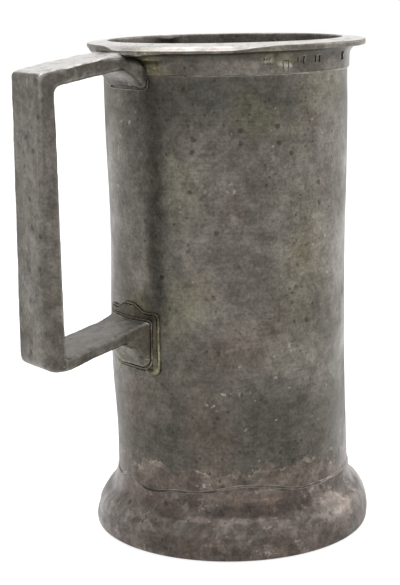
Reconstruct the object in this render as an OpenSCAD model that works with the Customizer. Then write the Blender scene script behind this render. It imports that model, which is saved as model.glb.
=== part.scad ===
// Cylindrical pewter wine measure of one litre, with a squared bracket handle.
// Millimetres, +Z up. The origin is the centre of the circle that the foot rests on.
// The handle points along -X and is symmetric about the XZ plane.

/* [Vessel] */
// Inside diameter of the drum
bore_d = 86; // [70:1:110]
// Depth from the top of the lip to the floor
depth = 172.1; // [140:0.1:210]
// Thickness of the drum's wall
wall = 2; // [1.5:0.1:3]
// Thickness of the floor plate
base_t = 2.4; // [1.5:0.1:4]
// Radius of the solder fillet between the floor and the drum
base_fillet = 1.2; // [0.6:0.1:2.5]

/* [Foot] */
// How far the foot stands out beyond the drum
foot_reach = 7.9; // [5:0.1:10]
// Height of the foot's upright outer wall
foot_wall_h = 9.4; // [6:0.1:12]
// How far that wall leans in over its height
foot_lean = 0.8; // [0:0.1:1.5]
// Height of the whole foot
foot_h = 22.3; // [20:0.1:28]
// Thickness of the foot's sleeve around the drum
foot_sleeve_t = 0.8; // [0.5:0.1:1.5]
// Height of the ledge that carries the floor plate
ledge_z = 9.5; // [8:0.1:11]
// Thickness of that ledge
ledge_t = 2; // [1.5:0.1:3]
// How far the ledge reaches in under the floor plate
ledge_reach = 4; // [2:0.1:6]
// Width of the ring that the foot rests on
rest_w = 2.6; // [1.5:0.1:4]

/* [Lip] */
// How far the lip stands out beyond the drum
lip_reach = 6.6; // [5:0.1:9]
// Thickness of the lip at its edge
lip_edge_t = 2; // [1.4:0.1:2.6]
// How far the lip's top face falls from the mouth to the edge
lip_fall = 0.8; // [0:0.1:1.5]
// Radius of the cove under the lip
cove_r = 4; // [2.5:0.1:4.5]
// Height of the lip ring, from the bottom of its band to its top
band_h = 10.7; // [9:0.1:14]
// Thickness of the band that laps over the drum
band_t = 0.75; // [0.5:0.05:1.2]
// How far the band laps over the drum
band_lap = 5; // [3:0.1:6]

/* [Handle] */
// Width of the handle's strap
strap_w = 20.8; // [14:0.1:25]
// Distance from the drum to the outside of the grip
handle_reach = 41; // [34:0.5:48]
// Thickness of the grip
grip_t = 6.2; // [4:0.1:8]
// Thickness of the upper arm
upper_arm_t = 6.2; // [4:0.1:8]
// Thickness of the lower arm
lower_arm_t = 4.8; // [3:0.1:6]
// Gap between the lip's edge and the top of the upper arm below it
upper_gap = 0.2; // [0.1:0.05:2]
// Height of the lower arm's top where it leaves the drum
lower_z = 84.8; // [60:0.1:95]
// Angle at which the upper arm falls away from the drum
upper_fall = 8.8; // [0:0.1:12]
// Angle at which the lower arm falls away from the drum
lower_fall = 12.2; // [0:0.1:15]
// How far the roots flare out past each side of the strap
root_flare = 2.4; // [2:0.1:6]
// Thickness of a root at its thin edge
root_edge_t = 0.7; // [0.4:0.1:1.2]
// How far the upper root runs down the drum below its arm
upper_root_drop = 7.5; // [4:0.1:10]
// How far the lower root runs down the pad below its arm
lower_root_drop = 11.5; // [6:0.1:14]
// How far the lower root runs up the pad above its arm
lower_root_rise = 4.5; // [2:0.1:8]
// Radius of the grip's upper outer corner
top_corner_r = 1.6; // [0.8:0.1:3]
// Radius of the grip's lower outer corner
bottom_corner_r = 4.6; // [1.5:0.1:5.5]
// Radius of the corners inside the handle
inner_corner_r = 1.8; // [0.8:0.1:4]

/* [Pad] */
// Thickness of the plate under the lower root
pad_t = 1.1; // [0.6:0.1:2]
// How far the pad shows around the root
pad_margin = 1.2; // [0.6:0.1:3]
// Radius of the pad's corners
pad_corner_r = 2.5; // [1:0.1:5]

/* [Joints] */
// Clearance between pieces that seat on each other
seat_gap = 0.05; // [0.02:0.01:0.1]
// Height and width of the outer solder beads
bead = 0.6; // [0.4:0.05:1]

/* [Hidden] */
$fn = 96;

// Number of straight steps in each rounded corner of an outline
corner_steps = 12;
// Radius of the lip's rounded edge, as a share of its thickness
edge_round = 0.48;
// Radius of the mouth's inner edge
mouth_round = 0.7;
// Height from the top of the foot's wall to the bottom of its sleeve
shoulder_rise = 3.6;
// Height of the thin edge along the end of each root
toe = 0.4;

bore_r = bore_d / 2;
drum_r = bore_r + wall;
seat_r = drum_r + seat_gap;
floor_z = ledge_z + base_t;
top_z = floor_z + depth;
drum_z0 = floor_z + seat_gap;
band_z = top_z - band_h;
drum_z1 = band_z + band_lap;
band_r = drum_r + band_t;
lip_r = drum_r + lip_reach;
lip_top_z = top_z - lip_fall;
lip_under_z = lip_top_z - lip_edge_t;
foot_r = drum_r + foot_reach;
foot_sleeve_r = drum_r + foot_sleeve_t;
pad_r = drum_r + pad_t;
root_half_w = strap_w / 2 + root_flare;
pad_half_w = root_half_w + pad_margin;
grip_x = drum_r + handle_reach;
grip_in_x = grip_x - grip_t;
upper_z = lip_under_z - upper_gap;
upper_root_z = upper_under(band_r) - upper_root_drop;
lower_root_z = lower_under(pad_r) - lower_root_drop;
lower_root_top = lower_top(pad_r) + lower_root_rise;
pad_z0 = lower_root_z - pad_margin;
pad_z1 = lower_root_top + pad_margin;

// Height of each straight face of the arms at a distance x from the vessel's axis
function upper_top(x) = upper_z - tan(upper_fall) * (x - lip_r);
function upper_under(x) = upper_top(x) - upper_arm_t;
function lower_top(x) = lower_z - tan(lower_fall) * (x - drum_r);
function lower_under(x) = lower_top(x) - lower_arm_t;

// An outline through the points [x, y, r], with each corner rounded to its radius r.
function unit(v) = v / norm(v);
function turned(v, a) = [v.x * cos(a) - v.y * sin(a), v.x * sin(a) + v.y * cos(a)];
function round_corner(before, p, after, r) =
    let (
        back = unit(before - p),
        ahead = unit(after - p),
        half = acos(back * ahead) / 2,
        centre = p + unit(back + ahead) * r / sin(half),
        start = p + back * r / tan(half) - centre,
        sweep = sign(cross(ahead, back)) * (180 - 2 * half)
    )
    [for (i = [0 : corner_steps]) centre + turned(start, sweep * i / corner_steps)];
function xy(p) = [p.x, p.y];
function rounded(points) =
    let (n = len(points))
    [
        for (i = [0 : n - 1])
            for (p = points[i][2] == 0
                ? [xy(points[i])]
                : round_corner(xy(points[(i + n - 1) % n]), xy(points[i]),
                    xy(points[(i + 1) % n]), points[i][2]))
                p
    ];
// The radius of a round that runs the distance reach along each side of a corner.
function radius_for(reach, opening) = reach * tan(opening / 2);
// A half outline with its mirror image in the x axis.
function both_sides(half) =
    concat(half, [for (i = [len(half) - 1 : -1 : 0]) [half[i].x, -half[i].y]]);

// Drum: a plain tube between the floor plate and the lip ring.
module drum() {
    color("#6a6760") rotate_extrude()
        translate([bore_r, drum_z0]) square([wall, drum_z1 - drum_z0]);
}

// Outer side of the lip ring, pushed out by g, for the ring itself and for what clears it.
function lip_side(g) = [
    [band_r + g, band_z - g, 0],
    [band_r + g, lip_under_z - g, cove_r - g],
    [lip_r + g, lip_under_z - g, edge_round * lip_edge_t + g],
    [lip_r + g, lip_top_z + g, edge_round * lip_edge_t + g]
];

// Lip ring: a band lapped over the drum, a cove and a flat everted lip.
module lip_ring() {
    color("#7b7871") rotate_extrude() polygon(rounded(concat(
        lip_side(0),
        [
            [bore_r + mouth_round + 0.1, top_z, 0],
            [bore_r, top_z, mouth_round],
            [bore_r, drum_z1 + seat_gap, 0],
            [seat_r, drum_z1 + seat_gap, 0],
            [seat_r, band_z, 0]
        ]
    )));
}

// Foot ring: an upright skirt, a rounded shoulder, a cove and a sleeve around the drum.
module foot_ring() {
    skirt_top_r = foot_r - foot_lean;
    cove_z = foot_wall_h + shoulder_rise;
    color("#645c55") rotate_extrude() polygon(rounded([
        [foot_r - rest_w, 0, 0],
        [foot_r - 0.2, 0, 1],
        [foot_r, 2, 1],
        [skirt_top_r, foot_wall_h + 1.2, 2.2],
        [foot_sleeve_r, cove_z, 2.4],
        [foot_sleeve_r, foot_h, 0.4],
        [seat_r, foot_h, 0],
        [seat_r, ledge_z, 0],
        [drum_r - ledge_reach, ledge_z, 0],
        [drum_r - ledge_reach, ledge_z - ledge_t, 0],
        [drum_r + 0.5, ledge_z - ledge_t, 1.5]
    ]));
}

// Floor plate: a disc on the foot's ledge, under the end of the drum.
module base_disc() {
    color("#77736b") translate([0, 0, ledge_z]) cylinder(h = base_t, r = drum_r);
}

// Side view of the handle, with x measured outwards from the vessel's axis.
function handle_side() =
    let (
        inside_x = drum_r - 3,
        upper_toe = band_r + root_edge_t,
        lower_toe = pad_r + root_edge_t
    )
    [
        [inside_x, upper_top(inside_x), 0],
        [grip_x, upper_top(grip_x), top_corner_r],
        [grip_x, lower_under(grip_x), bottom_corner_r],
        [lower_toe, lower_under(lower_toe), radius_for(lower_root_drop - toe, 90 - lower_fall)],
        [lower_toe, lower_root_z, 0],
        [inside_x, lower_root_z, 0],
        [inside_x, lower_root_top, 0],
        [lower_toe, lower_root_top, 0],
        [lower_toe, lower_top(lower_toe), radius_for(lower_root_rise - toe, 90 + lower_fall)],
        [grip_in_x, lower_top(grip_in_x), inner_corner_r],
        [grip_in_x, upper_under(grip_in_x), inner_corner_r],
        [upper_toe, upper_under(upper_toe), radius_for(upper_root_drop - toe, 90 - upper_fall)],
        [upper_toe, upper_root_z, 0],
        [inside_x, upper_root_z, 0]
    ];

// Top view of one half of the handle: the strap, and its flare where it meets the drum.
function handle_plan() =
    let (
        inside_x = sqrt(drum_r ^ 2 - root_half_w ^ 2) - 3,
        toe_x = sqrt(pad_r ^ 2 - root_half_w ^ 2) + root_edge_t
    )
    [
        [inside_x, root_half_w, 0],
        [toe_x, root_half_w, 0],
        [toe_x, strap_w / 2, root_flare * 0.95],
        [grip_x + 1, strap_w / 2, 0],
        [grip_x + 1, 0, 0],
        [inside_x, 0, 0]
    ];

// Everything of the vessel that the handle has to clear by the seat gap.
module vessel_space() {
    cylinder(h = top_z, r = seat_r);
    translate([0, 0, pad_z0 - seat_gap])
        cylinder(h = pad_z1 - pad_z0 + 2 * seat_gap, r = pad_r + seat_gap);
    translate([0, 0, band_z - bead - 2 * seat_gap])
        cylinder(h = top_z - band_z, r = band_r + seat_gap);
    rotate_extrude() polygon(rounded(concat(
        lip_side(seat_gap),
        [[bore_r, lip_top_z + seat_gap, 0], [bore_r, band_z - seat_gap, 0]]
    )));
}

// Handle: one casting, with a flared root under the lip and another on the pad.
module handle() {
    depth_y = 4 * root_half_w;
    half_plan = rounded(handle_plan());
    color("#706c65") difference() {
        intersection() {
            rotate([90, 0, 180]) translate([0, 0, -depth_y / 2])
                linear_extrude(depth_y) polygon(rounded(handle_side()));
            mirror([1, 0, 0]) linear_extrude(2 * top_z)
                polygon(both_sides([for (p = half_plan) if (p.y > 0) p]));
        }
        vessel_space();
    }
}

// An upright outline of a patch on the drum, grown by g: [across, height] with round corners.
function patch(half_w, z0, z1, r, g) = rounded([
    [-half_w - g, z0 - g, r + g],
    [half_w + g, z0 - g, r + g],
    [half_w + g, z1 + g, r + g],
    [-half_w - g, z1 + g, r + g]
]);
function pad_outline(g) = patch(pad_half_w, pad_z0, pad_z1, pad_corner_r, g);
function lower_root_outline(g) =
    patch(root_half_w, lower_root_z, lower_root_top, 0.3, seat_gap + g);

// The shell between the radii r0 and r1 on the handle's side of the vessel, cut to an outline.
module curved_patch(r0, r1) {
    difference() {
        intersection() {
            cylinder(h = top_z, r = r1);
            rotate([90, 0, -90]) linear_extrude(2 * drum_r) children();
        }
        cylinder(h = top_z, r = r0);
    }
}

// Pad: a curved plate on the drum that the handle's lower root stands on.
module handle_pad() {
    color("#7d786c") curved_patch(seat_r, pad_r) polygon(pad_outline(0));
}

// A solder bead around the vessel: a triangle at the given corner, out along the radius
// and up along the axis.
module round_bead(r, z, out, up) {
    color("#8d8a72") rotate_extrude() polygon([[r, z], [r + out, z], [r, z + up]]);
}

// Bead under the band of the lip ring.
module lip_solder() {
    round_bead(seat_r, band_z - seat_gap, band_t - seat_gap, -bead);
}

// Bead on top of the foot's sleeve.
module foot_solder() {
    round_bead(seat_r, foot_h + seat_gap, bead, bead);
}

// Fillet inside the vessel, around the floor.
module base_solder() {
    round_bead(bore_r - seat_gap, floor_z + seat_gap, -base_fillet, base_fillet);
}

// Bead around the pad, on the drum.
module pad_solder() {
    color("#98946f") curved_patch(seat_r, seat_r + bead) difference() {
        polygon(pad_outline(seat_gap + bead));
        polygon(pad_outline(seat_gap));
    }
}

// Bead around the handle's lower root, on the pad.
module lower_root_solder() {
    color("#98946f") curved_patch(pad_r + seat_gap, pad_r + seat_gap + 0.8 * bead) difference() {
        polygon(lower_root_outline(0.8 * bead));
        polygon(lower_root_outline(0));
    }
}

// Bead around the part of the upper root that stands on the drum, below the band's own bead.
module upper_root_solder() {
    bead_top = band_z - bead - 3 * seat_gap;
    inner_half = root_half_w + seat_gap;
    z0 = upper_root_z - seat_gap;
    color("#98946f") curved_patch(seat_r, seat_r + bead) difference() {
        translate([-inner_half - bead, z0 - bead])
            square([2 * (inner_half + bead), bead_top - z0 + bead]);
        translate([-inner_half, z0]) square([2 * inner_half, bead_top - z0 + 1]);
    }
}

drum();
lip_ring();
foot_ring();
base_disc();
handle();
handle_pad();
lip_solder();
foot_solder();
base_solder();
upper_root_solder();
lower_root_solder();
pad_solder();
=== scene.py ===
import math

import bpy
import numpy as np
from mathutils import Matrix, Vector


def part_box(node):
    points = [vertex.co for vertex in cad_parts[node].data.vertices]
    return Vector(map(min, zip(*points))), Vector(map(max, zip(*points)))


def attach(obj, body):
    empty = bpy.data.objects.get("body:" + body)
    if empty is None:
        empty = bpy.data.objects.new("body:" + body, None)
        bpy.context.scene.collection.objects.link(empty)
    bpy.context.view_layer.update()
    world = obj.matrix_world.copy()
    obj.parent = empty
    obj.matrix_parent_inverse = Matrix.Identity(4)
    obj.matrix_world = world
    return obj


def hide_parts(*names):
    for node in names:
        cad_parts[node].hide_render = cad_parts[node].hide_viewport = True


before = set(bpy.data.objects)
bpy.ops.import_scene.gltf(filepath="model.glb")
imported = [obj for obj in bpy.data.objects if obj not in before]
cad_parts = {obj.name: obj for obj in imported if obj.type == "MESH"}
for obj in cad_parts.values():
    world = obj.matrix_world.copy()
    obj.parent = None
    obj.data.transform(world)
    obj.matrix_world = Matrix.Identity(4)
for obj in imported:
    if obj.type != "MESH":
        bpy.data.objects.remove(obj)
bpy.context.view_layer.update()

# A pewter wine measure. Metres, +Z up. The vessel's axis is Z and the handle points along -X.
# A turn is an angle round the vessel in degrees: 0 at the handle, growing towards -Y.

MM = 0.001

# Sizes taken from the frame
DRUM_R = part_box("drum")[1].x
DRUM_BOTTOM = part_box("drum")[0].z
DRUM_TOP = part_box("drum")[1].z
LIP_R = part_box("lip_ring")[1].x
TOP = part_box("lip_ring")[1].z
BAND_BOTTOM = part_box("lip_ring")[0].z
FOOT_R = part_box("foot_ring")[1].x
FOOT_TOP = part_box("foot_ring")[1].z
FLOOR_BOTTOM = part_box("base_disc")[0].z
FLOOR_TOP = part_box("base_disc")[1].z
GRIP_R = -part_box("handle")[0].x
ROOT_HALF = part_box("handle")[1].y
ROOT_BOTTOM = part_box("handle")[0].z
PAD_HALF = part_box("handle_pad")[1].y
PAD_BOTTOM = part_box("handle_pad")[0].z
PAD_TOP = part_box("handle_pad")[1].z

# Sizes of the sheet and castings
GAP = 0.05 * MM
WALL = 2 * MM
BORE_R = DRUM_R - WALL
SEAT_R = DRUM_R + GAP
BAND_R = DRUM_R + 0.75 * MM
LIP_FALL = 0.8 * MM
LIP_EDGE = 2 * MM
COVE_R = 4 * MM
PAD_R = DRUM_R + 1.1 * MM
SLEEVE_R = DRUM_R + 0.8 * MM

# Where the vessel is crushed in, in degrees of turn
CRUSH_TURN = -42
CRUSH_REACH = 44

# The sharper of the two kinds of unevenness
FINE = "IMPROVED_PERLIN"

# The handle's strap
STRAP_W = 21.1 * MM
GRIP_T = 6.4 * MM
UPPER_T = 5.7 * MM
LOWER_T = 4.5 * MM
UPPER_FALL = math.radians(8.8)
LOWER_FALL = math.radians(12.2)
UPPER_Z = TOP - LIP_FALL - LIP_EDGE - 0.2 * MM
LOWER_Z = 84.8 * MM


# ---------------------------------------------------------------- working by hand

def put_down():
    """Back to object mode with nothing selected."""
    if bpy.context.object and bpy.context.object.mode != "OBJECT":
        bpy.ops.object.mode_set(mode="OBJECT")
    bpy.ops.object.select_all(action="DESELECT")


def take(piece):
    """Selects one piece and makes it the active one."""
    put_down()
    piece.select_set(True)
    bpy.context.view_layer.objects.active = piece


def pick(piece, kind, test):
    """In edit mode, selects the vertices, edges or faces of a piece that pass a test."""
    take(piece)
    bpy.ops.object.mode_set(mode="EDIT")
    bpy.ops.mesh.select_mode(type=kind)
    bpy.ops.mesh.select_all(action="DESELECT")
    bpy.ops.object.mode_set(mode="OBJECT")
    parts = {"VERT": piece.data.vertices, "EDGE": piece.data.edges, "FACE": piece.data.polygons}
    found = 0
    for part in parts[kind]:
        part.select = test(part)
        found += part.select
    bpy.ops.object.mode_set(mode="EDIT")
    return found


def open_up(piece):
    """Goes into edit mode on a piece, with all of it selected."""
    take(piece)
    bpy.ops.object.mode_set(mode="EDIT")
    bpy.ops.mesh.select_all(action="SELECT")


def leave():
    """Back to object mode."""
    bpy.ops.object.mode_set(mode="OBJECT")


def extrude(way):
    """Extrudes what is selected."""
    bpy.ops.mesh.extrude_region_move(TRANSFORM_OT_translate={"value": way})


def work(piece, kind, **settings):
    """Adds a modifier to a piece and applies it."""
    take(piece)
    modifier = piece.modifiers.new(kind.lower(), kind)
    for name, value in settings.items():
        setattr(modifier, name, value)
    bpy.ops.object.modifier_apply(modifier=modifier.name)


def line(name, corners, across):
    """A closed flat outline through corners of (across, height, cut), each corner rounded by its cut.
    across is the direction in which the first number is measured."""
    first = across * corners[0][0] + Vector((0, 0, corners[0][1]))
    put_down()
    bpy.ops.mesh.primitive_plane_add(size=MM, location=first)
    piece = bpy.context.object
    piece.name = name
    bpy.ops.object.transform_apply()
    bpy.ops.object.mode_set(mode="EDIT")
    bpy.ops.mesh.select_mode(type="VERT")
    bpy.ops.mesh.select_all(action="SELECT")
    bpy.ops.mesh.merge(type="CENTER")
    for before, after in zip(corners, corners[1:]):
        step = across * (after[0] - before[0]) + Vector((0, 0, after[1] - before[1]))
        extrude(step)
    bpy.ops.mesh.select_all(action="SELECT")
    bpy.ops.mesh.edge_face_add()
    for along, height, cut in corners:
        if cut:
            place = across * along + Vector((0, 0, height))
            pick(piece, "VERT", lambda v: (v.co - place).length < 0.01 * MM)
            bpy.ops.mesh.bevel(offset=cut, segments=8, affect="VERTICES")
    leave()
    return piece


def refine(piece, longest):
    """Halves every edge longer than this, until none is."""
    def long(edge):
        a, b = edge.vertices
        return (piece.data.vertices[a].co - piece.data.vertices[b].co).length > longest

    while pick(piece, "EDGE", long):
        bpy.ops.mesh.subdivide(number_cuts=1)
    leave()


def turned(name, corners, steps, longest):
    """A closed ring, turned about the vessel's axis from corners of (radius, height, cut)."""
    piece = line(name, corners, Vector((1, 0, 0)))
    open_up(piece)
    bpy.ops.mesh.delete(type="ONLY_FACE")
    refine(piece, longest)
    bpy.ops.object.mode_set(mode="EDIT")
    bpy.ops.mesh.select_all(action="SELECT")
    bpy.ops.mesh.spin(steps=steps, angle=math.tau, center=(0, 0, 0), axis=(0, 0, 1))
    close(piece)
    return piece


def close(piece):
    """Merges a piece's doubled points and turns its faces outwards."""
    open_up(piece)
    bpy.ops.mesh.remove_doubles(threshold=0.002 * MM)
    bpy.ops.mesh.normals_make_consistent(inside=False)
    leave()


def thick(piece, way):
    """Extrudes a flat outline into a block."""
    open_up(piece)
    extrude(way)
    close(piece)


def join(piece, *others):
    """Joins other pieces into a piece."""
    take(piece)
    for other in others:
        other.select_set(True)
    bpy.ops.object.join()


def cut(piece, tool, keep="DIFFERENCE"):
    """Cuts a piece with a tool, and throws the tool away."""
    work(piece, "BOOLEAN", object=tool, operation=keep, solver="EXACT")
    put_down()
    bpy.data.objects.remove(tool)


# ---------------------------------------------------------------- wear on the surface

def ramp(x, low, high):
    """0 below low, 1 above high, and smooth between."""
    t = min(max((x - low) / (high - low), 0), 1)
    return t * t * (3 - 2 * t)


def fall(x, low, high):
    """1 below low, 0 above high, and smooth between."""
    return 1 - ramp(x, low, high)


def near(x, middle, reach):
    """1 at the middle, falling smoothly to 0 at the reach on either side."""
    return fall(abs(x - middle), 0, reach)


def turn_of(co):
    """A point's turn round the vessel, from -180 to 180."""
    return math.degrees(math.atan2(-co.y, -co.x))


def radius_of(co):
    """A point's distance from the vessel's axis."""
    return math.hypot(co.x, co.y)


def at(radius, turn, height):
    """The point at a radius, a turn and a height."""
    a = math.radians(turn)
    return Vector((-radius * math.cos(a), -radius * math.sin(a), height))


def mark(piece, weight):
    """Paints a vertex group with weight(place) and returns its name."""
    group = piece.vertex_groups.new(name="worked")
    for v in piece.data.vertices:
        w = weight(v.co)
        if w > 0.001:
            group.add([v.index], min(w, 1), "REPLACE")
    return group.name


def push(piece, by, weight, along="NORMAL"):
    """Moves the surface by a distance, along its normal or an axis, where weight(place) says."""
    group = mark(piece, weight)
    work(piece, "DISPLACE", vertex_group=group, direction=along, mid_level=0, strength=by)
    piece.vertex_groups.clear()


def roughen(piece, depth, size, weight, basis="ORIGINAL_PERLIN", along="NORMAL"):
    """Waves or pits the surface by about this depth, in patches of about this size."""
    pattern = bpy.data.textures.new("uneven", "CLOUDS")
    pattern.noise_scale = size
    pattern.noise_depth = 2
    pattern.noise_basis = basis
    group = mark(piece, weight)
    work(piece, "DISPLACE", vertex_group=group, direction=along, texture=pattern,
         texture_coords="LOCAL", mid_level=0.5, strength=2 * depth)
    piece.vertex_groups.clear()


def mark_relief(piece, reach):
    """Stores on each point, as "worn", how far it stands out from its surroundings: over 0.5 on an
    edge, under 0.5 in a hollow, and 0 or 1 where that is more than the reach."""
    mesh = piece.data
    count = len(mesh.vertices)
    place = np.empty(count * 3, np.float32)
    mesh.vertices.foreach_get("co", place)
    place = place.reshape(-1, 3)
    normal = np.empty(count * 3, np.float32)
    mesh.vertex_normals.foreach_get("vector", normal)
    ends = np.empty(len(mesh.edges) * 2, np.int32)
    mesh.edges.foreach_get("vertices", ends)
    a, b = ends.reshape(-1, 2).T
    joined = np.maximum(np.bincount(a, minlength=count) + np.bincount(b, minlength=count), 1)
    level = place.copy()
    for _ in range(14):
        total = np.empty_like(level)
        for i in range(3):
            total[:, i] = np.bincount(a, level[b, i], count) + np.bincount(b, level[a, i], count)
        level = 0.4 * level + 0.6 * total / joined[:, None]
    proud = ((place - level) * normal.reshape(-1, 3)).sum(1) / reach
    worn = mesh.attributes.new("worn", "FLOAT", "POINT")
    worn.data.foreach_set("value", np.clip(0.5 + 0.5 * proud, 0, 1).astype(np.float32))
    upward = mesh.attributes.new("upward", "FLOAT", "POINT")
    upward.data.foreach_set("value", np.clip(normal.reshape(-1, 3)[:, 2], 0, 1).astype(np.float32))


def arch(across):
    """Height of the arched top of the upper root, at a distance to either side of its middle."""
    out = min(abs(across) / ROOT_HALF, 1)
    return BAND_BOTTOM + 8.6 * MM * (1 - out ** 2.6) ** 0.62


def dent(piece, depth, turn, height, width, tall):
    """Presses an oval dent into the outside of the vessel."""
    def weight(co):
        if radius_of(co) < BORE_R + 0.6 * WALL:
            return 0
        return near(turn_of(co), turn, width) * near(co.z, height, tall)
    push(piece, -depth, weight)


def crushed(co):
    """How far the vessel is crushed in, low down and to one side of the handle."""
    low = ramp(co.z, 15 * MM, 21 * MM) * fall(co.z, 34 * MM, 66 * MM)
    return low * near(turn_of(co), CRUSH_TURN, CRUSH_REACH)


def crush(piece):
    """Presses a ring round the drum in with it, where the drum is crushed."""
    push(piece, 1.2 * MM, crushed, "X")
    push(piece, -1.1 * MM, crushed, "Y")


# ---------------------------------------------------------------- the vessel

def make_drum():
    """The drum: a seamed tube that has lost its perfect round."""
    drum = turned("drum_wall", [
        (BORE_R, DRUM_BOTTOM, 0),
        (DRUM_R, DRUM_BOTTOM, 0),
        (DRUM_R, DRUM_TOP, 0),
        (BORE_R, DRUM_TOP, 0),
    ], 240, 1.5 * MM)

    def free(co):
        outside = radius_of(co) > BORE_R + 0.5 * WALL
        ends = ramp(co.z, FOOT_TOP - 2 * MM, FOOT_TOP + 12 * MM)
        ends *= fall(co.z, BAND_BOTTOM - 16 * MM, BAND_BOTTOM)
        clear = ramp(math.hypot(co.y, co.z - PAD_TOP + 10 * MM), 16 * MM, 30 * MM) if co.x < 0 else 1
        return ends * clear if outside else 0

    roughen(drum, 0.17 * MM, 34 * MM, free)
    roughen(drum, 0.08 * MM, 9 * MM, free, FINE)
    hollow = lambda turn, height, width, tall: (
        lambda co: free(co) * near(turn_of(co), turn, width) * near(co.z, height, tall))

    outer = lambda co: radius_of(co) > BORE_R + 0.5 * WALL
    push(drum, 1.3 * MM, lambda co: crushed(co) * (not outer(co)))
    push(drum, -1.6 * MM, lambda co: crushed(co) * outer(co))
    push(drum, -0.6 * MM, hollow(128, 50 * MM, 40, 36 * MM))
    push(drum, -0.9 * MM, hollow(-40, 116 * MM, 34, 44 * MM))
    push(drum, -1.1 * MM, hollow(142, 92 * MM, 44, 62 * MM))
    dent(drum, 0.35 * MM, 104, 122 * MM, 9, 10 * MM)
    dent(drum, 0.30 * MM, 62, 58 * MM, 12, 9 * MM)
    dent(drum, 0.30 * MM, 165, 60 * MM, 10, 12 * MM)
    return drum


def make_lip():
    """The lip ring: a gauge band, a cove and a flat everted lip, bent and nicked with use."""
    top = TOP - LIP_FALL
    under = top - LIP_EDGE
    lip = turned("lip_band", [
        (SEAT_R, BAND_BOTTOM, 0),
        (BAND_R, BAND_BOTTOM, 0.15 * MM),
        (BAND_R, under, COVE_R),
        (LIP_R, under, 0.5 * MM),
        (LIP_R, top, 0.7 * MM),
        (BORE_R + 0.8 * MM, TOP, 0),
        (BORE_R, TOP, 0.6 * MM),
        (BORE_R, DRUM_TOP + GAP, 0),
        (SEAT_R, DRUM_TOP + GAP, 0),
    ], 320, 1.0 * MM)
    cut(lip, punches())

    def rim(co):
        return ramp(radius_of(co), BORE_R + 2 * MM, LIP_R) * ramp(co.z, under - 1 * MM, under)

    def drooped(co):
        t = turn_of(co)
        return rim(co) * ramp(t, -6, 10) * fall(t, 46, 74)

    def edge_top(co):
        return drooped(co) * ramp(co.z, under + 0.3 * MM, top) * ramp(
            radius_of(co), LIP_R - 3 * MM, LIP_R)

    def melted(co):
        beside = fall(abs(turn_of(co)), 16, 30)
        in_cove = ramp(radius_of(co), BAND_R - 0.2 * MM, BAND_R + 0.4 * MM)
        return beside * in_cove * ramp(co.z - arch(co.y), 0.2 * MM, 1.6 * MM) * (
            fall(co.z, under - 0.1 * MM, under + 0.6 * MM))

    def thinned(co):
        return near(turn_of(co), -42, 36) * ramp(radius_of(co), BAND_R + 2.5 * MM, LIP_R - 1.5 * MM) * (
            fall(co.z, under + 0.1 * MM, under + 1.0 * MM)) * (co.z > under - 0.5 * MM)

    def flattened(co):
        return near(turn_of(co), -38, 40) * ramp(radius_of(co), LIP_R - 3 * MM, LIP_R)

    push(lip, 0.8 * MM, thinned, "Z")
    push(lip, 0.8 * MM, flattened, "X")
    push(lip, -0.6 * MM, flattened, "Y")
    push(lip, 1.5 * MM, melted)
    push(lip, -0.5 * MM, drooped, "Z")
    push(lip, -1.6 * MM, edge_top, "Z")
    dented = lambda co: near(turn_of(co), -96, 9) * ramp(co.z, TOP - 5 * MM, TOP)
    push(lip, -1.0 * MM, dented, "Z")
    push(lip, 1.1 * MM, lambda co: dented(co) * (radius_of(co) < BORE_R + 1 * MM))
    nicks = lambda co: rim(co) * ramp(radius_of(co), LIP_R - 1.6 * MM, LIP_R)
    roughen(lip, 0.20 * MM, 4.5 * MM, nicks, FINE)
    roughen(lip, 0.25 * MM, 26 * MM, rim, "ORIGINAL_PERLIN", "Z")
    outside = lambda co: ramp(radius_of(co), SEAT_R + 0.3 * MM, BAND_R)
    roughen(lip, 0.06 * MM, 5 * MM, outside)
    return lip


def punches():
    """Tools for the blank marks struck into the band: plain dots, a plain square and plain strokes."""
    put_down()
    struck = []

    def strike(turn, height, width, tall, depth, lean=0):
        bpy.ops.mesh.primitive_cube_add(size=1, location=at(BAND_R, turn, height),
                                        rotation=(math.radians(lean), 0, math.radians(turn)),
                                        scale=(2 * depth, width, tall))
        tool = bpy.context.object
        bpy.ops.object.transform_apply()
        bpy.ops.object.mode_set(mode="EDIT")
        bpy.ops.mesh.select_all(action="SELECT")
        bpy.ops.mesh.bevel(offset=0.25 * min(width, tall, 2 * depth), segments=2, affect="EDGES")
        leave()
        struck.append(tool)

    middle = BAND_BOTTOM + 4.2 * MM
    for across in (-1, 0, 1):
        for rise in (-0.75, 0.75):
            strike(70.5 + 1.25 * across, middle + rise * MM, 0.65 * MM, 0.9 * MM, 0.35 * MM)
    for turn, rise, width, tall, depth, lean in (
        (78.2, 2.7, 0.5, 2.2, 0.3, 0),
        (80.9, 2.7, 0.5, 2.2, 0.3, 0),
        (79.55, 4.2, 2.4, 0.45, 0.3, 0),
        (79.6, 5.9, 0.8, 0.8, 0.2, 45),
        (85.6, 4.5, 0.9, 1.4, 0.2, 0),
        (88.8, 4.5, 0.8, 3.2, 0.35, 0),
        (95.6, 4.6, 0.7, 3.0, 0.3, 0),
        (98.2, 4.6, 0.9, 3.2, 0.35, 0),
        (118, 4.7, 2.2, 3.6, 0.6, -14),
    ):
        strike(turn, BAND_BOTTOM + rise * MM, width * MM, tall * MM, depth * MM, lean)
    join(*struck)
    return struck[0]


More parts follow.
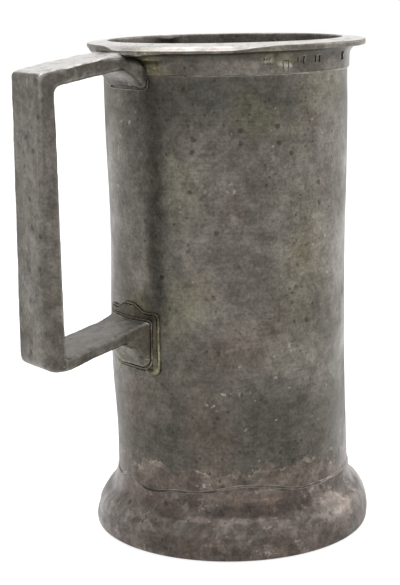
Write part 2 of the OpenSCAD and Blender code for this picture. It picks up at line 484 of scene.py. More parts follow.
def make_foot():
    """The foot ring: a heavy skirt with a worn shoulder, and a sleeve soldered round the drum."""
    foot = turned("foot_skirt", [
        (FOOT_R - 2.6 * MM, 0, 0),
        (FOOT_R - 0.6 * MM, 0, 0.7 * MM),
        (FOOT_R, 5.5 * MM, 2.0 * MM),
        (FOOT_R - 1.2 * MM, 12.0 * MM, 3.2 * MM),
        (SLEEVE_R + 0.2 * MM, 16.6 * MM, 3.2 * MM),
        (SEAT_R + 0.28 * MM, FOOT_TOP, 0.15 * MM),
        (SEAT_R, FOOT_TOP, 0),
        (SEAT_R, FLOOR_BOTTOM - GAP, 0),
        (DRUM_R - 4 * MM, FLOOR_BOTTOM - GAP, 0),
        (DRUM_R - 4 * MM, FLOOR_BOTTOM - 2 * MM, 0),
        (DRUM_R + 0.5 * MM, FLOOR_BOTTOM - 2 * MM, 1.5 * MM),
    ], 300, 1.1 * MM)

    def skirt(co):
        return ramp(co.z, 0.2 * MM, 2 * MM) * ramp(radius_of(co), SLEEVE_R - 0.3 * MM, SLEEVE_R + 1 * MM)

    def collar(co):
        return ramp(co.z, 17 * MM, FOOT_TOP) * (radius_of(co) > SEAT_R - GAP)

    roughen(foot, 0.40 * MM, 17 * MM, skirt)
    roughen(foot, 0.22 * MM, 5 * MM, skirt, FINE)
    roughen(foot, 0.10 * MM, 2.2 * MM, skirt, FINE)
    bent = lambda co: skirt(co) * ramp(co.z, 2 * MM, 6 * MM) * near(turn_of(co), -38, 46)
    push(foot, -1.2 * MM, bent)
    push(foot, -1.3 * MM, lambda co: bent(co) * ramp(co.z, 6 * MM, 12 * MM), "Z")
    crush(foot)
    wander(foot, collar)
    return foot


def wander(piece, weight):
    """Bends the top of the foot's collar, or the seam on it, unevenly up and down."""
    for turn, reach, rise in ((CRUSH_TURN, CRUSH_REACH, -1.8), (60, 30, 3.0), (-6, 12, 1.4), (11, 14, -1.6)):
        push(piece, rise * MM, lambda co: weight(co) * near(turn_of(co), turn, reach), "Z")
    roughen(piece, 0.9 * MM, 7 * MM, weight, FINE, "Z")


def make_floor():
    """The floor plate: a disc, a little uneven on top, with its turning rings."""
    put_down()
    bpy.ops.mesh.primitive_circle_add(vertices=144, radius=DRUM_R, fill_type="NGON",
                                      location=(0, 0, FLOOR_BOTTOM))
    plate = bpy.context.object
    plate.name = "floor_plate"
    bpy.ops.object.transform_apply()
    bpy.ops.object.mode_set(mode="EDIT")
    bpy.ops.mesh.select_all(action="SELECT")
    extrude((0, 0, FLOOR_TOP - FLOOR_BOTTOM))
    rings = 18
    for _ in range(rings):
        bpy.ops.mesh.inset(thickness=BORE_R / (rings + 1.5))
    bpy.ops.mesh.poke()
    close(plate)
    roughen(plate, 0.12 * MM, 12 * MM,
            lambda co: (co.z > FLOOR_BOTTOM + 1 * MM) * (radius_of(co) < BORE_R - 3 * MM), along="Z")
    return plate


# ---------------------------------------------------------------- the handle

def upper_top(radius):
    return UPPER_Z - math.tan(UPPER_FALL) * (radius - LIP_R)


def upper_under(radius):
    return upper_top(radius) - UPPER_T


def lower_top(radius):
    return LOWER_Z - math.tan(LOWER_FALL) * (radius - DRUM_R)


def lower_under(radius):
    return lower_top(radius) - LOWER_T


def make_strap():
    """The handle's strap, bent square from one bar."""
    inside = DRUM_R - 3 * MM
    grip_in = GRIP_R - GRIP_T
    strap = line("handle_casting", [
        (inside, upper_top(inside), 0),
        (GRIP_R, upper_top(GRIP_R), 1.8 * MM),
        (GRIP_R, lower_under(GRIP_R), 5.0 * MM),
        (inside, lower_under(inside), 0),
        (inside, lower_top(inside), 0),
        (grip_in, lower_top(grip_in), 1.2 * MM),
        (grip_in, upper_under(grip_in), 2.0 * MM),
        (inside, upper_under(inside), 0),
    ], Vector((-1, 0, 0)))
    open_up(strap)
    bpy.ops.transform.translate(value=(0, -STRAP_W / 2, 0))
    extrude((0, STRAP_W, 0))
    close(strap)
    side = STRAP_W * 0.4

    def arris(edge):
        a, b = (strap.data.vertices[i].co for i in edge.vertices)
        return abs(a.y) > side and abs(b.y) > side and a.y * b.y > 0

    pick(strap, "EDGE", arris)
    bpy.ops.mesh.bevel(offset=0.9 * MM, segments=3, affect="EDGES")
    leave()
    return strap


def wring(handle):
    """Gives the grip its twist: the outer face leans from one side at the top to the other below."""
    def outer(co):
        return min(max((-co.x - GRIP_R + GRIP_T) / GRIP_T, 0), 1) * ramp(-co.x, 74 * MM, 80 * MM)

    def down(co):
        return min(max((166 * MM - co.z) / (86 * MM), 0), 1)

    half = STRAP_W / 2
    push(handle, 4.3 * MM, lambda co: outer(co) * down(co) * max(-co.y / half, 0), "Y")
    push(handle, -2.4 * MM, lambda co: outer(co) * (1 - down(co)) * max(co.y / half, 0), "Y")
    inner = lambda co: ramp(-co.x, 66 * MM, 78 * MM) * (1 - outer(co))
    push(handle, -1.2 * MM, lambda co: inner(co) * down(co) * max(-co.y / half, 0), "Y")


def make_root(name, outline, sections):
    """A flared root, drawn out from the vessel: an outline of (across, height, cut) at the first
    radius, then scaled to each section's (radius, width, bottom, top)."""
    radius = sections[0][0]
    root = line(name, outline, Vector((0, 1, 0)))
    open_up(root)
    bpy.ops.transform.translate(value=(-radius, 0, 0))
    for before, after in zip(sections, sections[1:]):
        extrude((before[0] - after[0], 0, 0))
        middle = (0, 0, (before[2] + before[3]) / 2)
        bpy.ops.transform.resize(
            value=(1, after[1] / before[1], (after[3] - after[2]) / (before[3] - before[2])),
            center_override=middle)
        bpy.ops.transform.translate(
            value=(0, 0, (after[2] + after[3] - before[2] - before[3]) / 2))
    close(root)
    return root


def wrap_round_vessel(piece):
    """Curves a flat flare back round the drum."""
    def sag(co):
        flare = fall(-co.x, DRUM_R + 1.5 * MM, DRUM_R + 9 * MM)
        return (DRUM_R - math.sqrt(max(DRUM_R ** 2 - co.y ** 2, 0))) / (3 * MM) * flare
    push(piece, 3 * MM, sag, "X")


def vessel_gauge():
    """A solid the shape of the vessel with its pad, for cutting the roots to fit."""
    under = TOP - LIP_FALL - LIP_EDGE
    clear = 0.03 * MM
    return turned("gauge", [
        (20 * MM, 40 * MM, 0),
        (SEAT_R + clear, 40 * MM, 0),
        (SEAT_R + clear, PAD_BOTTOM - GAP, 0),
        (PAD_R + GAP, PAD_BOTTOM - GAP, 0),
        (PAD_R + GAP, PAD_TOP + GAP, 0),
        (SEAT_R + clear, PAD_TOP + GAP, 0),
        (SEAT_R + clear, BAND_BOTTOM - 0.7 * MM, 0),
        (BAND_R + GAP, BAND_BOTTOM - 0.7 * MM, 0),
        (BAND_R + GAP, under - GAP, COVE_R),
        (LIP_R + 2 * MM, under - 0.12 * MM, 0),
        (LIP_R + 2 * MM, TOP + 2 * MM, 0),
        (20 * MM, TOP + 2 * MM, 0),
    ], 180, 60 * MM)


def make_handle():
    """The handle: strap and roots as one worn casting, fitted to the vessel."""
    handle = make_strap()
    half = 12.2 * MM
    low = upper_under(BAND_R) - 7.7 * MM
    high = UPPER_Z + 0.6 * MM
    upper = make_root("upper_root", [
        (-half, low, 2.2 * MM),
        (half, low, 2.2 * MM),
        (half, high, 5 * MM),
        (-half, high, 5 * MM),
    ], [
        (DRUM_R - 3 * MM, half, low, high),
        (DRUM_R + 0.9 * MM, half, low, high),
        (DRUM_R + 1.7 * MM, half * 0.97, low + 0.9 * MM, high - 0.1 * MM),
        (DRUM_R + 3.2 * MM, half * 0.92, low + 3.4 * MM, high - 0.2 * MM),
        (DRUM_R + 5.2 * MM, half * 0.87, low + 5.4 * MM, high - 0.5 * MM),
        (DRUM_R + 9 * MM, half * 0.82, low + 7.4 * MM, high - 1.6 * MM),
    ])
    wrap_round_vessel(upper)
    low = ROOT_BOTTOM
    high = lower_top(PAD_R) + 0.9 * MM
    lower = make_root("lower_root", [
        (-half, low, 4 * MM),
        (half, low, 8 * MM),
        (half, high, 1.6 * MM),
        (-half, high, 1.6 * MM),
    ], [
        (DRUM_R - 3 * MM, half, low, high),
        (PAD_R + 0.8 * MM, half, low, high),
        (PAD_R + 1.5 * MM, half * 0.97, low + 0.7 * MM, high - 0.5 * MM),
        (PAD_R + 2.6 * MM, half * 0.93, low + 3.6 * MM, high - 0.9 * MM),
        (PAD_R + 4.6 * MM, half * 0.88, low + 7.4 * MM, high - 1.6 * MM),
        (PAD_R + 9 * MM, half * 0.83, low + 9.6 * MM, high - 2.9 * MM),
    ])
    wrap_round_vessel(lower)
    join(handle, upper, lower)
    work(handle, "REMESH", mode="VOXEL", voxel_size=0.5 * MM)

    def shoulder(co):
        if co.z < 165 * MM:
            return 0
        fade = fall(-co.x, DRUM_R + 4 * MM, DRUM_R + 16 * MM)
        return min(max((co.z - arch(co.y)) / (8 * MM), 0), 1) * fade

    push(handle, -8 * MM, shoulder, "Z")
    wring(handle)
    work(handle, "REMESH", mode="VOXEL", voxel_size=0.48 * MM)
    work(handle, "SMOOTH", factor=0.5, iterations=5)
    everywhere = lambda co: 1
    arm = lambda co: ramp(co.z, 160 * MM, 168 * MM) * ramp(-co.x, 52 * MM, 60 * MM)
    roughen(handle, 0.25 * MM, 11 * MM, everywhere)
    roughen(handle, 0.14 * MM, 3 * MM, everywhere, FINE)
    roughen(handle, 0.35 * MM, 5 * MM, arm, FINE)
    for x, depth in ((-74, 0.7), (-70, 1.1), (-66, 0.8), (-62, 0.5)):
        blow = Vector((x * MM, -STRAP_W / 2, upper_top(-x * MM) - 1.0 * MM))
        push(handle, -depth * MM, lambda co: fall((co - blow).length, 0, 3.6 * MM))
    cut(handle, vessel_gauge())
    return handle


def make_pad():
    """The pad: a curved plate with a peaked top and a raised edge, under the lower root."""
    pad = plate_on_drum("pad_plate", pad_outline(0), SEAT_R, PAD_R)
    work(pad, "REMESH", mode="VOXEL", voxel_size=0.28 * MM)
    work(pad, "SMOOTH", factor=0.5, iterations=6)
    ridge = lambda co: near(abs(co.y), PAD_HALF - 0.7 * MM, 1.1 * MM) * (radius_of(co) > PAD_R - 0.5 * MM) * (
        fall(co.z, PAD_TOP - 8 * MM, PAD_TOP - 2 * MM))
    push(pad, 0.7 * MM, ridge)
    roughen(pad, 0.12 * MM, 3 * MM, lambda co: radius_of(co) > PAD_R - 0.3 * MM, FINE)
    return pad


def pad_outline(grow):
    half = PAD_HALF + grow
    low = PAD_BOTTOM - grow
    shoulder = PAD_TOP - 2.6 * MM + grow
    return [
        (-half, low, 2.4 * MM),
        (half, low, 8 * MM),
        (half, shoulder, 1.5 * MM),
        (7.9 * MM, shoulder, 0.8 * MM),
        (2.8 * MM, PAD_TOP + grow, 0.8 * MM),
        (-2.8 * MM, PAD_TOP + grow, 0.8 * MM),
        (-7.9 * MM, shoulder, 0.8 * MM),
        (-half, shoulder, 1.5 * MM),
    ]


def plate_on_drum(name, outline, inner, outer):
    """A plate of an outline of (across, height, cut), between two radii on the handle's side."""
    plate = line(name, outline, Vector((0, 1, 0)))
    open_up(plate)
    bpy.ops.transform.translate(value=(-DRUM_R + 8 * MM, 0, 0))
    leave()
    thick(plate, (-16 * MM, 0, 0))
    shell = turned("shell", [
        (inner, 50 * MM, 0),
        (outer, 50 * MM, 0),
        (outer, TOP, 0),
        (inner, TOP, 0),
    ], 240, 200 * MM)
    cut(plate, shell, "INTERSECT")
    return plate


# ---------------------------------------------------------------- the solder

def make_round_seam(name, radius, height, out, up):
    """A lumpy bead of solder run round the vessel."""
    seam = turned(name, [
        (radius, height, 0),
        (radius + out, height, 0),
        (radius, height + up, 0),
    ], 288, 0.3 * MM)

    def free(co):
        return abs(radius_of(co) - radius) > 0.05 * MM and abs(co.z - height) > 0.05 * MM

    roughen(seam, 0.12 * MM, 3 * MM, free, FINE)
    return seam


def frame_seam(name, outside, inside, inner, outer):
    """A bead of solder between two outlines, standing on the vessel between two radii."""
    seam = plate_on_drum(name, outside, inner, outer)
    cut(seam, plate_on_drum(name + "_space", inside, inner - 1 * MM, outer + 1 * MM))
    work(seam, "REMESH", mode="VOXEL", voxel_size=0.16 * MM)
    work(seam, "SMOOTH", factor=0.5, iterations=22)
    proud = lambda co: radius_of(co) > inner + 0.15 * MM
    roughen(seam, 0.16 * MM, 1.6 * MM, proud, FINE)
    roughen(seam, 0.22 * MM, 5 * MM, proud)
    return seam


def make_pad_seam():
    """The solder round the pad, with a run that dripped from its lower corner."""
    seam = frame_seam("pad_seam", pad_outline(0.9 * MM), pad_outline(GAP), SEAT_R, SEAT_R + 0.8 * MM)
    drip = at(SEAT_R + 0.4 * MM, math.degrees(PAD_HALF / DRUM_R) - 3, PAD_BOTTOM + 0.5 * MM)
    push(seam, 1.3 * MM, lambda co: (radius_of(co) > SEAT_R + 0.2 * MM) * (
        fall((co - drip).length, 0.5 * MM, 4 * MM)))
    return seam


def root_outline(half, low, high, low_cut, grow):
    return [
        (-half - grow, low - grow, low_cut),
        (half + grow, low - grow, 2 * low_cut),
        (half + grow, high + grow, 1.6 * MM),
        (-half - grow, high + grow, 1.6 * MM),
    ]


def make_lower_root_seam():
    """The solder where the lower root stands on the pad."""
    low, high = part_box("lower_root_solder")[0].z, lower_top(PAD_R) + 0.9 * MM
    edge = lambda grow: root_outline(12.25 * MM, low + 0.5 * MM, high, 4 * MM, grow)
    return frame_seam("lower_root_seam", edge(0.7 * MM), edge(0), PAD_R + GAP, PAD_R + 0.6 * MM)


def make_upper_root_seam():
    """The solder below and beside the upper root, where it stands on the drum."""
    low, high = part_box("upper_root_solder")
    edge = lambda grow, top: root_outline(12.25 * MM, low.z + 0.6 * MM, top, 2.2 * MM, grow)
    return frame_seam("upper_root_seam", edge(0.5 * MM, high.z - 0.5 * MM), edge(0, high.z + 3 * MM),
                      SEAT_R, SEAT_R + 0.5 * MM)


# ---------------------------------------------------------------- finishes

def put(tree, kind, sockets=None, **settings):
    """Adds a node, sets its options and fills its sockets with values or links."""
    made = tree.nodes.new("ShaderNode" + kind)
    for name, value in settings.items():
        setattr(made, name, value)
    for key, value in (sockets or {}).items():
        if isinstance(value, bpy.types.NodeSocket):
            tree.links.new(value, made.inputs[key])
        else:
            made.inputs[key].default_value = value
    return made


def vectors(tree, operation, a, b):
    """One operation on two vectors."""
    return put(tree, "VectorMath", {0: a, 1: b}, operation=operation).outputs[0]


def axes(tree, vector):
    """A vector's x, y and z."""
    return put(tree, "SeparateXYZ", {"Vector": vector}).outputs


def length(tree, vector, kept=(1, 1, 1)):
    """How long a vector is, counting only the axes that are kept."""
    vector = vectors(tree, "MULTIPLY", vector, kept)
    return put(tree, "VectorMath", {0: vector}, operation="LENGTH").outputs["Value"]


def patches(tree, place, per_metre, low, high, detail=4):
    """A mask of soft patches: 0 where the noise is under low, 1 where it is over high."""
    return span(tree, noise(tree, place, per_metre, detail).outputs["Fac"], low, high)


def blend(tree, amount, a, b, mode="MIX"):
    """Mixes colour b into colour a by an amount."""
    return put(tree, "Mix", data_type="RGBA", blend_type=mode, sockets={0: amount, 6: a, 7: b}).outputs[2]


def maths(tree, operation, a, b):
    """One operation on two numbers or sockets."""
    return put(tree, "Math", {0: a, 1: b}, operation=operation).outputs[0]


def times(tree, first, *others):
    """The product of numbers or sockets."""
    for other in others:
        first = maths(tree, "MULTIPLY", first, other)
    return first


def stain(tree, colour, mask, amount, tone):
    """Lays a tone over a colour where a mask says, by an amount."""
    return blend(tree, times(tree, mask, amount), colour, tone)


def span(tree, value, low, high, to_low=0, to_high=1):
    """Stretches a value from one range to another, smoothly and held at the ends."""
    return put(tree, "MapRange", {"Value": value, "From Min": low, "From Max": high, "To Min": to_low,
                                  "To Max": to_high}, interpolation_type="SMOOTHSTEP").outputs[0]


def noise(tree, place, per_metre, detail=3, roughness=0.6):
    """Cloudy noise with this many cells to the metre."""
    return put(tree, "TexNoise", {"Vector": place, "Scale": per_metre, "Detail": detail,
                                  "Roughness": roughness})


def shaken(tree, place, per_metre, reach):
    """A place moved about by noise, so that what is drawn on it gets ragged edges."""
    colour = noise(tree, place, per_metre, 4, 0.65).outputs["Color"]
    centred = vectors(tree, "SUBTRACT", colour, (0.5, 0.5, 0.5))
    moved = put(tree, "VectorMath", {0: centred, "Scale": 4 * reach}, operation="SCALE").outputs[0]
    return vectors(tree, "ADD", place, moved)


def dots(tree, place, per_metre, size, share, channel=0):
    """Small round dots in a given share of the cells of a random pattern."""
    cells = put(tree, "TexVoronoi", {"Vector": place, "Scale": per_metre, "Randomness": 1})
    luck = put(tree, "SeparateColor", {"Color": cells.outputs["Color"]}).outputs[channel]
    dot = span(tree, cells.outputs["Distance"], size, size * 0.45)
    return maths(tree, "MULTIPLY", dot, maths(tree, "LESS_THAN", luck, share))


def patina_group():
    """The shared surface of old pewter: cloudy oxide, stains, lathe lines, pits and flecks."""
    tree = bpy.data.node_groups.new("old_pewter", "ShaderNodeTree")
    for name, kind, value in (
        ("Place", "NodeSocketVector", None),
        ("Along", "NodeSocketVector", None),
        ("Metal", "NodeSocketColor", (0.2, 0.195, 0.18, 1)),
        ("Oxide", "NodeSocketColor", (0.1, 0.095, 0.085, 1)),
        ("Stain", "NodeSocketColor", (0.13, 0.1, 0.075, 1)),
        ("Stain amount", "NodeSocketFloat", 0.5),
        ("Speck amount", "NodeSocketFloat", 0.5),
    ):
        socket = tree.interface.new_socket(name, in_out="INPUT", socket_type=kind)
        if value is not None:
            socket.default_value = value
    for name, kind in (("Colour", "NodeSocketColor"), ("Detail", "NodeSocketFloat"),
                       ("Pits", "NodeSocketFloat"), ("Flecks", "NodeSocketFloat"),
                       ("Roughness", "NodeSocketFloat"), ("Height", "NodeSocketFloat")):
        tree.interface.new_socket(name, in_out="OUTPUT", socket_type=kind)
    given = tree.nodes.new("NodeGroupInput").outputs
    place, along = given["Place"], given["Along"]

    clouds = patches(tree, place, 30, 0.38, 0.64, 6)
    colour = blend(tree, clouds, given["Oxide"], given["Metal"])
    stains = patches(tree, place, 75, 0.5, 0.7, 5)
    colour = stain(tree, colour, stains, given["Stain amount"], given["Stain"])
    olive = patches(tree, place, 40, 0.53, 0.68, 5)
    colour = stain(tree, colour, olive, 0.25, (0.13, 0.122, 0.070, 1))

    mottle = span(tree, noise(tree, place, 210, 4, 0.7).outputs["Fac"], 0.32, 0.68, 0.76, 1.26)
    grain = noise(tree, place, 900, 3, 0.75).outputs["Fac"]
    lines = noise(tree, along, 95, 4, 0.7).outputs["Fac"]
    detail = times(tree, mottle, span(tree, grain, 0.3, 0.7, 0.78, 1.24))
    detail = times(tree, detail, span(tree, lines, 0.35, 0.65, 0.92, 1.09))

    ragged = shaken(tree, place, 600, 0.4 * MM)
    pits = dots(tree, ragged, 160, 0.22, 0.36)
    small_pits = dots(tree, ragged, 420, 0.30, 0.30, 1)
    pitted = patches(tree, place, 45, 0.40, 0.60, 3)
    small_pits = times(tree, small_pits, span(tree, pitted, 0, 1, 0.25, 0.85))
    dark = maths(tree, "MAXIMUM", times(tree, pits, 0.9), small_pits)

    crowd = patches(tree, place, 62, 0.54, 0.64, 3)
    flecks = dots(tree, shaken(tree, place, 420, 0.9 * MM), 430, 0.36, 0.34, 2)
    flecks = times(tree, flecks, crowd)
    loose = dots(tree, ragged, 300, 0.16, 0.06, 1)
    flecks = maths(tree, "MAXIMUM", flecks, loose)
    flecks = times(tree, flecks, given["Speck amount"])

    rough = span(tree, clouds, 0, 1, 0.42, 0.30)
    rough = maths(tree, "ADD", rough, times(tree, stains, 0.10))
    rough = maths(tree, "ADD", rough, times(tree, olive, 0.06))

    height = times(tree, grain, 0.30)
    height = maths(tree, "ADD", height, times(tree, lines, 0.12))
    height = maths(tree, "SUBTRACT", height, times(tree, dark, 0.7))
    height = maths(tree, "ADD", height, times(tree, clouds, 0.4))
    height = maths(tree, "ADD", height, times(tree, flecks, 0.3))

    out = tree.nodes.new("NodeGroupOutput")
    for name, value in (("Colour", colour), ("Detail", detail), ("Pits", dark), ("Flecks", flecks),
                        ("Roughness", rough), ("Height", height)):
        tree.links.new(value, out.inputs[name])
    return tree


def round_vessel(tree, coords):
    """A place measured round the vessel and up it, stretched so that a pattern on it runs round."""
    x, y, z = axes(tree, coords)
    turn = maths(tree, "ARCTAN2", y, x)
    return put(tree, "CombineXYZ", {"X": times(tree, turn, 0.6 * DRUM_R),
                                    "Z": times(tree, z, 9.0)}).outputs[0]


def down_handle(tree, coords):
    """A place stretched so that a pattern on it runs down the grip."""
    return put(tree, "Mapping", {"Vector": coords, "Scale": (7, 7, 0.8)}).outputs[0]


def blot(tree, place, turn, height, width, tall, depth=30 * MM):
    """A mask for one stain on the vessel, 1 in its middle and 0 past its ragged edge."""
    away = vectors(tree, "SUBTRACT", place, at(DRUM_R, turn, height))
    turned_away = put(tree, "VectorRotate", {"Vector": away, "Angle": -math.radians(turn)},
                      rotation_type="Z_AXIS").outputs[0]
    sized = put(tree, "VectorMath", {0: turned_away, 1: (depth, width, tall)},
                operation="DIVIDE").outputs[0]
    return span(tree, length(tree, sized), 1.35, 0.25)


def drum_stains(tree, coords, colour):
    """The drum's own marks: cool dark pools low down, painted shade under the band and inside the bore, a
    painted dark reflection upright beside the handle, grime beside the pad, and a brown crust with a pale
    edge above the foot."""
    ragged = shaken(tree, coords, 85, 5 * MM)
    cool, brown, olive = (0.043, 0.044, 0.038, 1), (0.115, 0.084, 0.063, 1), (0.135, 0.125, 0.066, 1)
    for turn, height, width, tall, amount, tone in (
        (72, 44, 22, 20, 0.80, cool),
        (19, 40, 17, 11, 0.75, cool),
        (50, 60, 24, 24, 0.45, cool),
        # Just under the band, here and at 57 degrees: painted shade.
        (48, 165, 40, 10, 0.55, cool),
        # Here and in the next row, tall and narrow beside the handle: a painted dark reflection.
        (24, 120, 8, 60, 0.30, cool),
        (4, 146, 9, 34, 0.50, cool),
        # Just under the band: painted shade.
        (57, 168, 14, 8, 0.45, cool),
        (118, 40, 18, 14, 0.35, cool),
        (-150, 60, 26, 24, 0.60, cool),
        (-70, 45, 20, 16, 0.60, cool),
        (160, 120, 24, 30, 0.40, cool),
        (44, 42, 10, 26, 0.50, brown),
        (2, 52, 10, 14, 0.50, brown),
        (58, 76, 14, 12, 0.30, brown),
        (-110, 90, 20, 30, 0.40, brown),
        (33, 132, 10, 18, 0.16, olive),
        (30, 88, 9, 12, 0.22, olive),
        (88, 104, 13, 34, 0.16, olive),
        (66, 160, 10, 8, 0.20, olive),
        (4, 90, 7, 5, 0.60, olive),
    ):
        mask = blot(tree, ragged, turn, height * MM, width * MM, tall * MM)
        colour = stain(tree, colour, mask, amount, tone)
    up = axes(tree, ragged)[2]
    colour = stain(tree, colour, span(tree, up, 76 * MM, 46 * MM), 0.60, (0.070, 0.062, 0.051, 1))
    crust = span(tree, up, 31.6 * MM, 30.2 * MM)
    mottle = patches(tree, coords, 130, 0.40, 0.60, 5)
    tone = blend(tree, mottle, (0.075, 0.060, 0.049, 1), (0.138, 0.112, 0.093, 1))
    colour = stain(tree, colour, crust, 0.75, tone)
    edge = times(tree, span(tree, up, 30.2 * MM, 30.9 * MM), span(tree, up, 31.8 * MM, 31.1 * MM))
    broken = patches(tree, coords, 120, 0.44, 0.60, 2)
    colour = stain(tree, colour, times(tree, edge, broken), 0.55, (0.26, 0.23, 0.19, 1))
    # Darker on the inside wall of the bore: painted shade.
    inside = span(tree, length(tree, coords, (1, 1, 0)), BORE_R + 0.9 * WALL, BORE_R + 0.3 * WALL)
    return stain(tree, colour, inside, 0.5, (0.10, 0.088, 0.070, 1))


def lip_stains(tree, coords, colour):
    """Dark grime round the punches, and yellow flux left beside the upper root."""
    ragged = shaken(tree, coords, 140, 2.5 * MM)
    low = BAND_BOTTOM + 4 * MM
    for turn, height, width, tall, amount, tone in (
        (88, low, 7 * MM, 6 * MM, 0.60, (0.055, 0.048, 0.040, 1)),
        (100, low, 6 * MM, 5 * MM, 0.50, (0.055, 0.048, 0.040, 1)),
        (72, low, 5 * MM, 4 * MM, 0.35, (0.055, 0.048, 0.040, 1)),
        (36, low - 1 * MM, 9 * MM, 4 * MM, 0.45, (0.07, 0.062, 0.054, 1)),
        (2, low, 18 * MM, 9 * MM, 0.45, (0.07, 0.060, 0.050, 1)),
        (19, low + 1 * MM, 4 * MM, 7 * MM, 0.55, (0.22, 0.20, 0.10, 1)),
        (76, low + 2 * MM, 12 * MM, 4 * MM, 0.40, (0.16, 0.145, 0.085, 1)),
        (79.5, low - 1.2 * MM, 1.9 * MM, 1.9 * MM, 0.75, (0.34, 0.32, 0.26, 1)),
        (70.5, low, 2.6 * MM, 1.8 * MM, 0.60, (0.32, 0.30, 0.24, 1)),
        (117, low, 3 * MM, 5 * MM, 0.60, (0.045, 0.040, 0.033, 1)),
    ):
        mask = blot(tree, ragged, turn, height, width, tall, 12 * MM)
        colour = stain(tree, colour, mask, amount, tone)
    beads = dots(tree, shaken(tree, coords, 900, 0.3 * MM), 900, 0.42, 0.5)
    beside = blot(tree, ragged, 19, low + 1 * MM, 4.5 * MM, 8 * MM, 12 * MM)
    return stain(tree, colour, times(tree, beads, beside), 0.8, (0.50, 0.46, 0.20, 1))


def pad_stains(tree, coords, colour):
    """Yellow flux and grime on the handle's lower root and its pad; painted shade on the strap's sides, in
    the corner where the lower arm meets the pad and on the upper root under the lip; and a dark crack at the
    upper root.
    """
    ragged = shaken(tree, coords, 160, 2.5 * MM)
    x, y, z = axes(tree, ragged)
    close_in = span(tree, x, -(DRUM_R + 13 * MM), -(DRUM_R + 3 * MM))
    low = span(tree, z, 120 * MM, 110 * MM)
    olive = times(tree, close_in, low)
    colour = stain(tree, colour, olive, 0.62, (0.105, 0.094, 0.058, 1))
    grime = times(tree, olive, patches(tree, coords, 150, 0.42, 0.60, 4))
    colour = stain(tree, colour, grime, 0.55, (0.038, 0.033, 0.024, 1))
    beads = dots(tree, shaken(tree, coords, 900, 0.3 * MM), 800, 0.36, 0.34)
    crowd = patches(tree, coords, 170, 0.48, 0.62, 3)
    flux = times(tree, beads, crowd, olive)
    colour = stain(tree, colour, flux, 0.8, (0.36, 0.33, 0.19, 1))
    across = put(tree, "Math", {0: y}, operation="ABSOLUTE").outputs[0]
    # Darker on the strap's sides near the pad: painted shade.
    side = times(tree, span(tree, across, 8.2 * MM, 10.2 * MM), olive)
    side = times(tree, side, span(tree, z, 71 * MM, 75 * MM))
    colour = stain(tree, colour, side, 0.62, (0.034, 0.030, 0.018, 1))
    # Darker in the corner where the lower arm meets the pad: painted shade.
    hollow = times(tree, span(tree, x, -(DRUM_R + 9 * MM), -(DRUM_R + 2 * MM)),
                   times(tree, low, span(tree, z, 80 * MM, 83 * MM)))
    colour = stain(tree, colour, hollow, 0.55, (0.040, 0.030, 0.020, 1))
    # Darker along both sides of the strap, all over the handle: painted shade.
    colour = stain(tree, colour, span(tree, across, 5.5 * MM, 9.5 * MM), 0.35, (0.060, 0.052, 0.045, 1))
    # Darker on the upper root close to the drum, under the lip: painted shade.
    shade_under_lip = times(tree, span(tree, x, -(DRUM_R + 8 * MM), -(DRUM_R + 1 * MM)),
                      span(tree, z, 160 * MM, 166 * MM))
    colour = stain(tree, colour, shade_under_lip, 0.35, (0.070, 0.060, 0.048, 1))
    from_axis = length(tree, coords, (1, 1, 0))
    crack = times(tree, span(tree, from_axis, BAND_R + 1.5 * MM, BAND_R + 0.4 * MM),
                  span(tree, z, 158 * MM, 162 * MM))
    return stain(tree, colour, crack, 0.85, (0.018, 0.015, 0.012, 1))


def flux_stains(tree, coords, colour):
    """Grime over the solder of the pad, thickest round its peak, where it is hardly to be seen."""
    up = axes(tree, coords)[2]
    high = span(tree, up, PAD_TOP - 7 * MM, PAD_TOP - 2 * MM)
    colour = stain(tree, colour, high, 0.9, (0.085, 0.077, 0.056, 1))
    grime = patches(tree, coords, 190, 0.44, 0.58, 4)
    return stain(tree, colour, grime, 0.55, (0.060, 0.054, 0.036, 1))


def foot_stains(tree, coords, colour):
    """Brown scale on the foot in ragged plates, with dark hollows and thin pale edges."""
    ragged = shaken(tree, coords, 110, 4 * MM)
    plates = noise(tree, ragged, 60, 3, 0.55).outputs["Fac"]
    dark = span(tree, plates, 0.50, 0.44)
    colour = stain(tree, colour, dark, 0.60, (0.050, 0.040, 0.034, 1))
    pale = span(tree, plates, 0.56, 0.62)
    colour = stain(tree, colour, pale, 0.28, (0.17, 0.140, 0.120, 1))
    edge = times(tree, span(tree, plates, 0.495, 0.505), span(tree, plates, 0.525, 0.512))
    broken = patches(tree, coords, 150, 0.46, 0.60, 2)
    colour = stain(tree, colour, times(tree, edge, broken), 0.35, (0.36, 0.32, 0.27, 1))
    for turn, height, width, tall, amount in ((52, 3, 12, 4, 0.6), (60, 16, 15, 4, 0.6),
                                              (96, 4, 16, 4, 0.5),
                                              (92, 13, 14, 5, 0.6),
                                              (2, 7, 5, 5, 0.5), (-120, 6, 16, 6, 0.5), (170, 12, 14, 6,
                                               0.5)):
        mask = blot(tree, ragged, turn, height * MM, width * MM, tall * MM)
        colour = stain(tree, colour, mask, amount, (0.042, 0.035, 0.031, 1))
    return colour


def seam_crack(tree, coords, colour):
    """Black grime in the stretch of seam that has opened, on the handle's side."""
    open_seam = blot(tree, coords, 12, FOOT_TOP, 30 * MM, 30 * MM)
    broken = patches(tree, coords, 70, 0.40, 0.56, 2)
    return stain(tree, colour, times(tree, open_seam, broken), 0.8, (0.022, 0.018, 0.015, 1))


def plain(tree, coords, colour):
    """No marks of its own."""
    return colour


